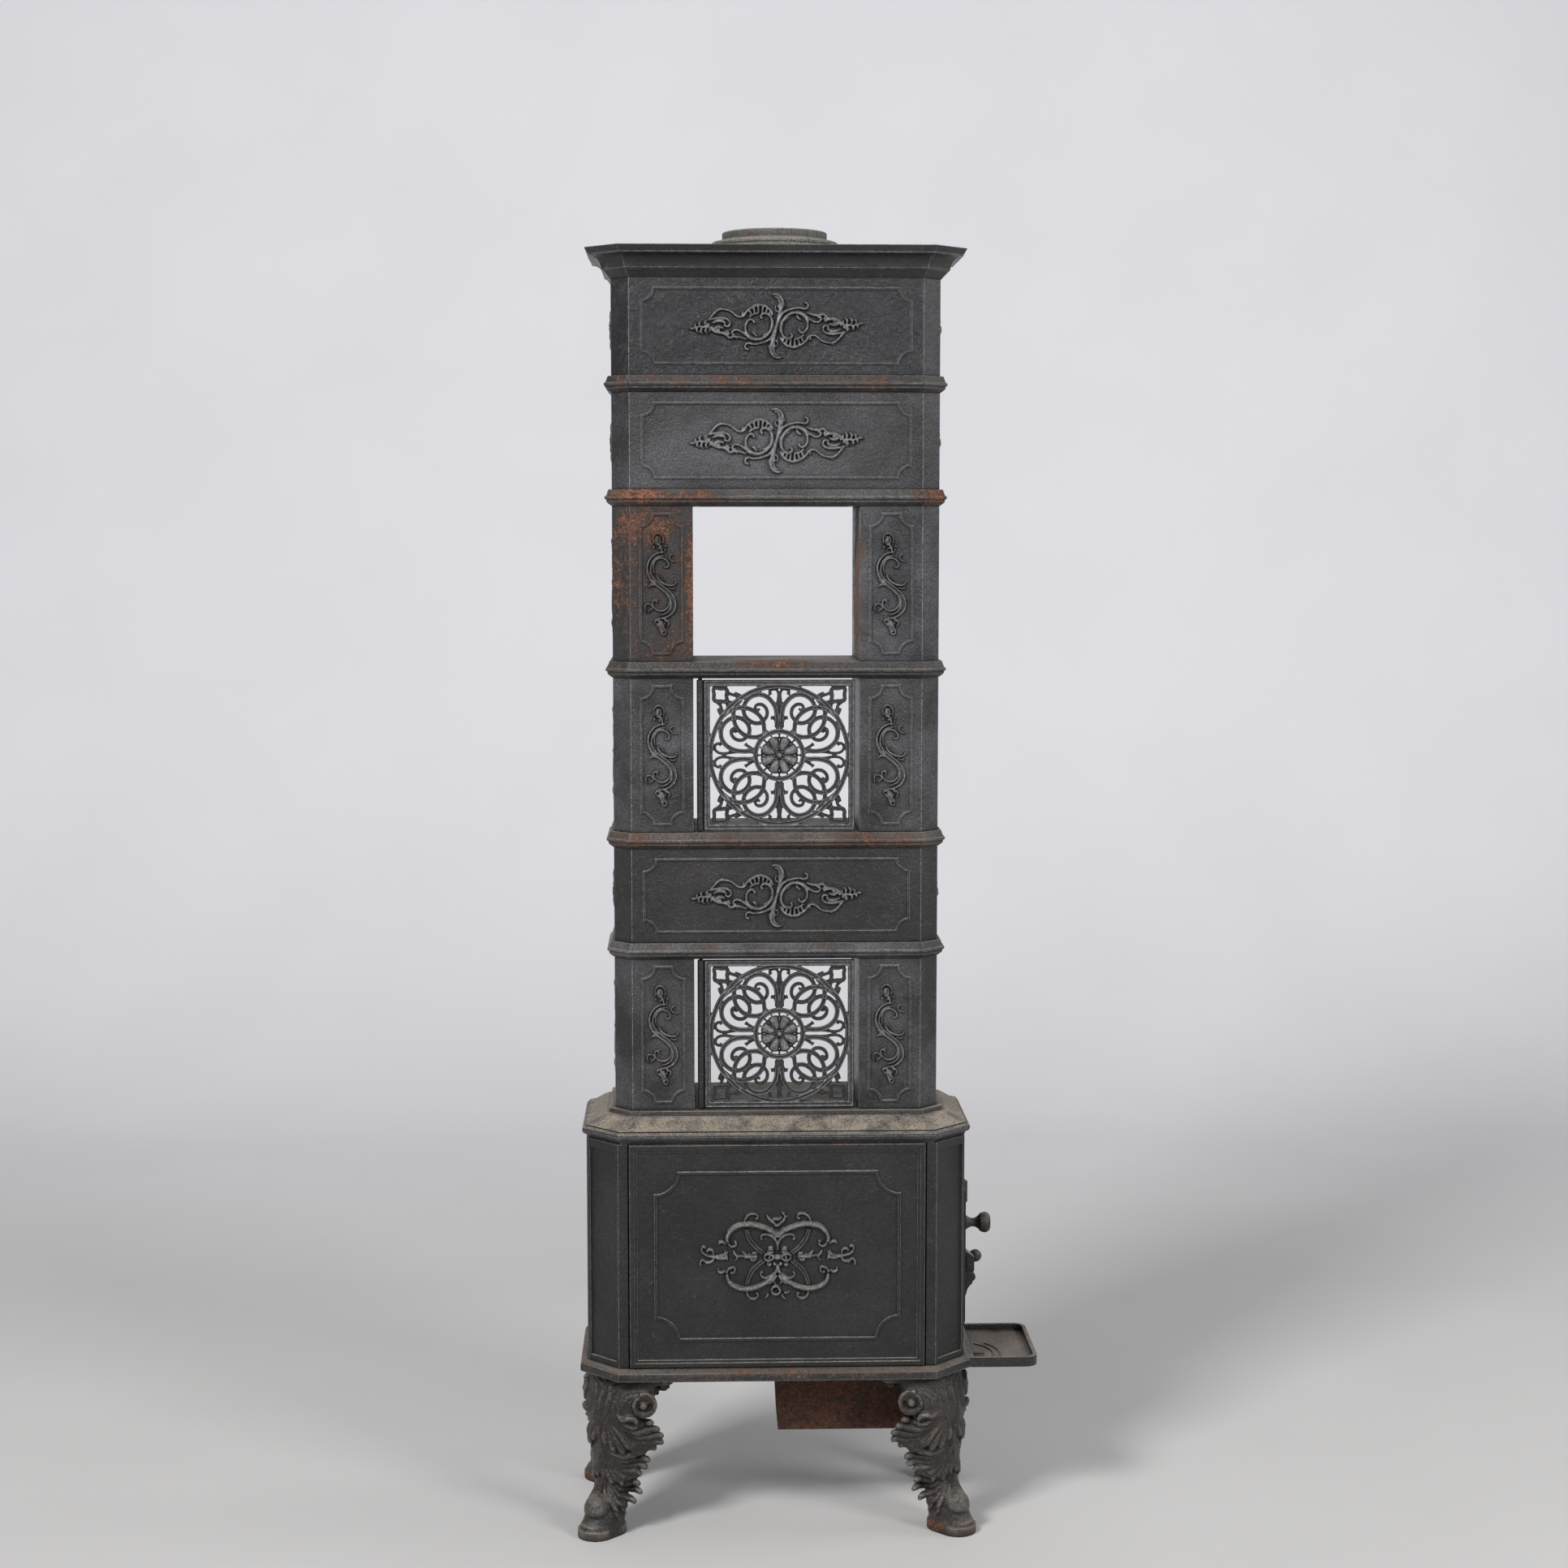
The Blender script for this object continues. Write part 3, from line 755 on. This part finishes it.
grilleQuarter = readStrokes("""
-67.5,48.5 -61.7,53.2 -54.4,56.8 -45.9,58 -38.1,57 -30.2,53.3 -23.2,47.1 -19.5,39.7 -18.5,32.4 -18.1,25.8 \
| 4.2
-46.5,67.9 -51.3,62.2 -54.4,56.7 -55.8,50 -55.2,42.7 -52.6,35.3 -47.6,28.7 -41.1,24.1 -33.8,22.1 \
-25.9,22.4 -18.7,25.4 -13.8,29.4 | 4.2
-37.3,23.9 -36.4,32.4 -39.2,39 -44.6,43.8 -52,46.2 -59.2,44.7 -65.9,39.7 -70.1,33 -71.2,25.8 -69.1,17.9 \
-64,11.5 -56.7,7.1 -47.2,4.9 -36.8,5.2 -30.8,7 | 4 4 4 4 4 4 4.2 4.5 4.6 4.6 4.6 4.6 4.6 4.4 3.6
-21.1,39.7 -29,39 -35.5,41.8 -40.7,46.6 -43.3,52.4 -43.3,58.5 -40.5,65.2 -35.6,70.3 -29.5,73.3 -22.3,73.8 \
-15.5,71.3 -9.5,65.8 -5,58.5 -3.3,50 -3,41.5 -3.5,33.6 | 4 4 4 4 4 4 4.2 4.5 4.6 4.6 4.6 4.6 4.6 4.6 4.4 3.6
-18.3,42.7 -15.4,47.5 -14.9,53.6 -17.7,59.3 -23.2,62.1 -28.4,60.4 -29.1,56.9 -25.9,55.1 -23.8,56.9 | 3 \
3.5 3.6 3.5 3.4 3 2.7 2.4 2.4
-39.9,21.8 -43.8,19 -49.6,18.4 -55.3,21.2 -58.4,26.6 -57.7,31.5 -54.3,32.3 -52.6,29.4 -54.4,27.5 | 3 3.5 \
3.6 3.5 3.4 3 2.7 2.4 2.4
-3.4,34.2 -4,39.7 -6.4,44.9 -10.4,45.9 | 2.4 2.9 2.7 4
-30.8,6.8 -36.1,9.9 -39.9,12.4 -41.8,13.9 | 2.4 2.9 2.8 4.2
-1.2,31.5 -1.8,39.1 -2.1,52.4 -1.7,67 -1.3,75.3 -3.4,79.6 -8.2,80.2 -11.8,77.3 -10.2,73.8 | 4.2 2.7 2.7 \
2.7 2.5 2.5 2.7 2.8 3.3
-30.2,4.5 -39.9,4.2 -54.4,3.9 -69,2.2 -74.9,3.7 -78.1,7 -77.9,12.2 -74.3,14.4 -70.8,12.4 | 4.2 3 2.8 2.8 \
2.7 2.7 2.7 2.8 3.3
-79.3,81.5 -71.7,81.3 -64,80.3 -64.4,73 -64.4,66.2 -71.7,66 -78.8,66.8 -79.3,74.2 -79.3,81.5 | 3.8
-64.4,80.5 -63.9,73 -63.6,63.9 -63,56.7 -65.9,51.8 -69.5,54.6 -71.4,60.5 -74.9,63.8 -78.7,66.7 | 2.7 2.9 \
3 3 3 3 3 3 2.7
-78.9,67.2 -70.2,66 -61.1,65 -52.8,64.5 -49,67.1 -50.7,71.2 -56.7,73.8 -61.1,75.7 -63.9,79.7 | 2.7 2.9 3 \
3 3 3 3 3 2.7
-54.4,76.1 -49.6,73.5 -45.9,70 | 2.7 3.6 4.2
-74.5,57.3 -72.5,52.4 -69.6,48.8 | 2.7 3.6 4.2
""")


def ringStroke(radius, width):
    turns = [math.radians(a) for a in range(0, 361, 20)]
    points = [(radius * math.cos(a), radius * math.sin(a)) for a in turns[:-1]]
    return points + [(radius, 0)], [width] * len(turns)


def rayStroke(degrees, radii, widths, *lift):
    # a straight stroke outwards from the middle
    a = math.radians(degrees)
    return [(r * math.cos(a), r * math.sin(a), *lift) for r in radii], widths


def drawStraps(name, strokes):
    # flat straps with raised edges: a small section swept along each stroke
    section = bpy.data.curves.new(name + "Section", "CURVE")
    section.dimensions = "2D"
    outline = section.splines.new("POLY")
    corners = [(-1, -1.2), (1, -1.2), (1, 0.9), (0.7, 1.25), (0.42, 0.85), (0, 0.75), (-0.42, 0.85),
               (-0.7, 1.25), (-1, 0.9)]
    outline.points.add(len(corners) - 1)
    for point, (x, y) in zip(outline.points, corners):
        point.co = (x * mm, y * mm, 0, 1)
    outline.use_cyclic_u = True
    profile = addObject(name + "Section", section)
    curve = bpy.data.curves.new(name, "CURVE")
    curve.dimensions = "2D"
    curve.bevel_mode = "OBJECT"
    curve.bevel_object = profile
    curve.use_fill_caps = True
    curve.resolution_u = 6
    addPaths(curve, strokes, lambda x, z: (x * mm, z * mm, 0))
    mesh = evaluated(addObject(name, curve))
    bpy.data.objects.remove(profile)
    mesh.transform(Matrix.Rotation(math.pi / 2, 4, "X"))
    return mesh


def buildStraps():
    # the scrolls in all four quarters and the two rings, flat behind
    quarters = []
    for sx in (1, -1):
        for sz in (1, -1):
            quarters += turned(grilleQuarter, sx, sz)
    quarters = [(points, [w * grille["swell"] for w in widths]) for points, widths in quarters]
    rings = [ringStroke(*grille["outerRing"]), ringStroke(*grille["innerRing"])]
    straps = drawStraps("straps", quarters + rings)
    for v in straps.vertices:
        if v.co.y > 0:
            v.co.y = min(v.co.y, grille["thick"] / 2 * mm)
        else:
            v.co.y = max(v.co.y, -grille["strapBack"] * mm) * grille["strapProud"]
    return straps


def buildRosette():
    # ribbed petals round an eye, with a link from the ring to each gap between them
    strokes = []
    step = 360 / rosette["petals"]
    for n in range(rosette["petals"]):
        middle = (n + 0.5) * step
        strokes.append(rayStroke(middle, rosette["petal"], rosette["petalWidths"]))
        for lean, reach, lift in rosette["ribs"]:
            strokes.append(rayStroke(middle + lean, (*rosette["ribFrom"], reach), rosette["ribWidths"], lift))
        strokes.append(rayStroke(n * step, rosette["link"], rosette["linkWidths"]))
    rose = drawStrokes("rose", strokes + [ringStroke(*grille["eyeRing"])])
    for v in rose.vertices:
        v.co.y *= rosette["proud"] if v.co.y < 0 else rosette["sunk"]
    return rose


def buildSurround(wide, high):
    # the door's flat frame, its front in line with the straps
    bm = bmesh.new()
    bmesh.ops.create_grid(bm, x_segments=1, y_segments=1, size=0.5)
    bmesh.ops.scale(bm, verts=bm.verts, vec=(wide * mm, high * mm, 1))
    bmesh.ops.inset_region(bm, faces=bm.faces[:], thickness=grille["band"] * mm,
                           use_boundary=True, use_even_offset=True)
    middle = min(bm.faces, key=lambda f: f.calc_center_median().length)
    bmesh.ops.delete(bm, geom=[middle], context="FACES")
    bmesh.ops.solidify(bm, geom=bm.faces[:], thickness=grille["thick"] * mm)
    bmesh.ops.recalc_face_normals(bm, faces=bm.faces)
    bmesh.ops.rotate(bm, verts=bm.verts, matrix=Matrix.Rotation(math.pi / 2, 3, "X"))
    low = min(v.co.y for v in bm.verts)
    bmesh.ops.translate(bm, verts=bm.verts, vec=(0, -grille["thick"] / 2 * mm - low, 0))
    return finished("frame", bm)


def buildBeads(wide, high):
    # two raised lines round the frame
    beads = []
    for inset in grille["beadInsets"]:
        w, h = wide / 2 - inset, high / 2 - inset
        corners = [(-w, -h), (w, -h), (w, h), (-w, h)]
        for k in range(4):
            beads.append(([corners[k], corners[(k + 1) % 4]], [grille["bead"]] * 2))
    mesh = drawStrokes("beads", beads)
    mesh.transform(Matrix.Translation((0, -grille["thick"] / 2 * mm, 0)))
    return mesh


def buildGrilleMesh():
    wide, high = grille["right"] - grille["left"], grille["high"]
    bm = bmesh.new()
    bmesh.ops.create_uvsphere(bm, u_segments=24, v_segments=16, radius=grille["boss"] * mm)
    boss = finished("boss", bm)
    parts = [buildStraps(), buildRosette(), boss, buildSurround(wide, high), buildBeads(wide, high)]
    shape = fused("grille", parts, grille["voxel"], grille["keep"])
    markCrests(shape, *grille["crest"])
    return shape


grilleMesh = buildGrilleMesh()
print("grille ready:", len(grilleMesh.polygons))


def hingeStile(z):
    # the round stile that the pins stand in, with a thin neck to the frame
    bm = bmesh.new()
    bmesh.ops.create_cone(bm, cap_ends=True, segments=24, radius1=grille["barrel"] * mm,
                          radius2=grille["barrel"] * mm, depth=grille["high"] * mm)
    rims = [e for e in bm.edges if e.is_manifold and e.calc_face_angle() > 1]
    bmesh.ops.bevel(bm, geom=rims, offset=0.6 * mm, segments=2, affect="EDGES", profile=0.5, material=-1)
    bmesh.ops.translate(bm, verts=bm.verts,
                        vec=(middleX + grille["pivotX"] * mm, grille["pivotY"] * mm, z * mm))
    return finished("stile", bm)


def buildGrilleDoor(name, node, body, zLow):
    middle = (grille["left"] + grille["right"]) / 2
    z = zLow + grille["gap"] + grille["high"] / 2
    bm = bmesh.new()
    bm.from_mesh(onFront(grilleMesh, middle, grille["pivotY"], z))
    makePiece(name, bm, grilleIron, body, [node], [hingeStile(z)], 60)


buildGrilleDoor("lowerGrille", "lower_grille_door", "lower_grille", storeyColumns[1])
buildGrilleDoor("upperGrille", "upper_grille_door", "upper_grille", storeyColumns[3])

leg = {"footX": -217.5, "footY": -95, "high": 200, "ridge": 1.3, "sideReach": 38, "sideSqueeze": 0.35,
       "volute": 152, "plateDrop": 6.1, "voxel": 1.15, "keep": 0.28,
       "balls": [(-3.5, -3.5, 33, 19, 19, 19), (0, 0, 12.5, 31, 23, 13),  # ball and pad: place and half sizes
                 (52.5, -7, 169, 15, 15, 15), (-7, 52.5, 169, 15, 15, 15),  # volutes and their eyes
                 (52.5, -20, 169, 6, 6, 6), (-20, 52.5, 169, 6, 6, 6)]}
bigLeaves = """
19.6,154,14.9 26.6,150.4,19.8 34.6,153,21.6 41.6,150.4,20.7 43.1,146.1,21.1
19.6,150,15.7 37.6,140,18.4 51.6,141.6,10 60.6,145.6,15.3 64.7,143.6,15.7
19.6,145,15.2 39.6,133,16.2 55.6,133.6,13.2 68,137,13.8 71.8,134.4,14.2
21.6,139,15.2 41.6,127,13.7 59.6,125.6,11.8 72.8,128.4,12.3 76.4,125.6,12.7
21.6,135,14.7 41.6,121,12 59.6,117.6,10.5 72.8,120,11 76.3,117.1,11.4
21.6,132,14.4 39.6,117,12.1 51.6,111.6,9.5 64,112.4,9.6 67.2,109.1,10
18.6,130,13.3 31.6,118,14.8 42.6,110,8.6 52,108.4,8.9 54.3,104.4,9.3
11.6,142,11.3 23.6,128,16.3 31.6,117,15.6 38.6,110,11.6 38.2,105.4,12
8.6,142,9.5 15.6,128,14 21.6,117,15.1 26,109.6,14.4 28.4,105.6,14.8
6.6,142,8 9.6,130,11.2 12.6,120,12.5 15.2,113,12.6 16.8,108.7,13
4,142,6.3 3.2,133,7 4,127,8.2 6,121,8.9 7.5,116.6,9.3
6.6,106,4.3 23.6,101,11.8 37.6,103,10.3 49.6,105.6,8.5 53.2,102.8,8.9
6.6,104,3.9 25.6,95.6,11.1 41.6,95,3.6 56,96.4,7.4 59.3,93.2,7.8
6.6,101,3.8 23.6,90,10.2 39.6,86.8,2.9 53.2,87.2,6.2 56.3,83.8,6.6
5.6,99,2.9 19.6,86,9.4 33.6,80,6.5 45.6,78.4,5.3 48.1,74.5,5.7
4.6,97.6,2.1 15.6,84,8.4 25.6,75.6,9.2 36,72,1.6 37.6,67.7,2
3.6,97,1.2 10.6,84,6.5 16.6,74,9.2 24,68.4,8.9 24.2,63.8,9.3
2.2,96,-0.1 5.2,84,3.3 9.2,75.6,6.8 13.2,70,8.6 15.9,66.3,9
0.6,96,-1.5 0,86,-1.1 1.6,80,1 4,75.6,3.6 6.2,71.6,4
"""
smallLeaves = """
13.6,72,5.6 23.6,69.6,8.1 31.6,71.6,6.1 40.2,74.8,5.3 44.2,72.5,5.7
12.6,70,5.4 23.6,64.4,7.7 33.6,63.6,1.6 44,65.6,5 47.6,62.7,5.4
11.6,67.6,5.2 21.6,59,7.6 33.6,55,-3 46.4,55,5 49.4,51.5,5.4
10.6,66,4.9 18.6,53,8.7 28.6,46.4,4.6 39.2,44,7.1 41.3,39.9,7.5
8.6,65,4.2 14,51,9.5 20.6,42,11.3 28.6,37.6,3.9 29.5,33.1,4.3
6.6,64,3.2 8.8,52,8.5 12,43,13.1 16.6,36.4,15 19.2,32.6,15.4
3.2,62,1.3 3.2,54,5.1 4,47,10.1 6,42.4,12.8 7.8,38.2,13.2
"""
legScrolls = """
17.6,44,9.6 25.2,34,7.9 28,25,2.1 | 5 6.5 5.5
11.6,42,10.9 16.6,32,15.4 21.6,22,12.6 | 5 6.5 5.5
14,162,8.9 7.2,144,7.4 1.6,120,1.1 -2,90,-6 -2,60,-4.6 | 6 8 9 8 6
45.6,180,16.5 33.6,176,14.9 26.6,164,14.9 27.6,150,16.6 | 5 5.5 5.5 5
42.6,184.4,14.6 29.2,179.6,11.3 20.6,165,11.9 20.6,146,14.3 22.6,134,13.3 | 5 5.5 5.5 5 4
39.6,188,12.2 23.6,182,7 14.6,166,8.1 12.6,144,10.7 15.6,124,9.8 | 5 5.5 5.5 5 4
31.6,191.6,7 14.6,184,-0.7 6,164,2.4 4,140,4.9 7.2,114,4.1 | 5 5.5 5.5 5 4
23.6,194,0.5 5.6,186,-10.3 -2.8,164,-6 -4.8,138,-3.4 -0.4,106,-3.2 | 5 5.5 5.5 5 4
47.5,182.6,20.5 58.4,181.6,20.5 65.1,173.6,20.5 64.1,163.6,20.5 56.7,157.4,20.5 47.5,158.4,20.5 \
42,165.2,20.5 42.8,173.5,20.5 49,178.5,20.5 56.5,177.7,20.5 61,172.1,20.5 | 7.5 7.5 7.5 7.5 7.5 7.5 7.5 \
7.5 7 6 5
"""
legLeaves = [  # midribs' paths, then the widths in mm of a midrib and of the broad plate that it lies on
    (bigLeaves, [3.6, 6.2, 8.4, 9, 4.4], [7, 10, 11, 6]),
    (smallLeaves, [3.2, 5.4, 7.2, 8.2, 4], [6.5, 9.5, 10.5, 6]),
]


def buildWing():
    # acanthus leaves up the outer side of one wing, with scrolls over them; a plate ends short of its rib's tip
    midribs, plates = [], []
    for paths, ribWidths, plateWidths in legLeaves:
        ribs = readStrokes(paths, ribWidths)
        midribs += ribs
        plates += [([(x, z, lift - leg["plateDrop"]) for x, z, lift in points[:-1]], plateWidths)
                   for points, widths in ribs]
    return drawStrokes("leaves", midribs + readStrokes(legScrolls) + plates, 4)


def buildLegMesh():
    # one leg about its foot's middle; the leaves of its front wing are mirrored to its side wing
    body = finished("legBody", castCopy("leg_front_left", 1.5, 40))
    body.transform(Matrix.Translation((-middleX - leg["footX"] * mm, -leg["footY"] * mm, 0)))
    bm = bmesh.new()
    for x, y, z, rx, ry, rz in leg["balls"]:
        place = Matrix.Translation((x * mm, y * mm, z * mm)) @ Matrix.Rotation(math.pi / 4, 4, "Z")
        bmesh.ops.create_uvsphere(bm, u_segments=32, v_segments=20, radius=1,
                                  matrix=place @ Matrix.Diagonal((rx * mm, ry * mm, rz * mm, 1)))
    foot = finished("foot", bm)
    wing = buildWing()
    swap = Matrix(((0, 1, 0, 0), (1, 0, 0, 0), (0, 0, 1, 0), (0, 0, 0, 1)))  # x for y
    sideWing = placed(wing, swap)
    reach = leg["sideReach"] * mm  # leaves past this are pressed in, clear of the ash pan's way
    for v in sideWing.vertices:
        if v.co.z < leg["volute"] * mm and v.co.y > reach:
            v.co.y = reach + (v.co.y - reach) * leg["sideSqueeze"]
    shape = fused("leg", [body, foot, wing, sideWing], leg["voxel"], leg["keep"])
    for v in shape.vertices:
        v.co.z = min(max(v.co.z, 0), leg["high"] * mm)
    markRidges(shape, leg["ridge"])
    return shape


legMesh = buildLegMesh()
print("leg ready:", len(legMesh.polygons))
corners = {"front_left": (1, 1), "front_right": (-1, 1), "rear_left": (1, -1), "rear_right": (-1, -1)}
for place, (sx, sy) in corners.items():
    bm = bmesh.new()
    foot = Matrix.Translation((middleX + sx * leg["footX"] * mm, sy * leg["footY"] * mm, 0))
    bm.from_mesh(placed(legMesh, foot @ Matrix.Diagonal((sx, sy, 1, 1))))
    makePiece("leg." + place, bm, legIron, "stove", ["leg_" + place], (), 60)

triangles = {o.name: sum(len(f.vertices) - 2 for f in o.data.polygons)
             for o in bpy.data.objects if o.type == "MESH"}
print("triangles:", sum(triangles.values()), sorted(triangles.items(), key=lambda pair: -pair[1])[:14])
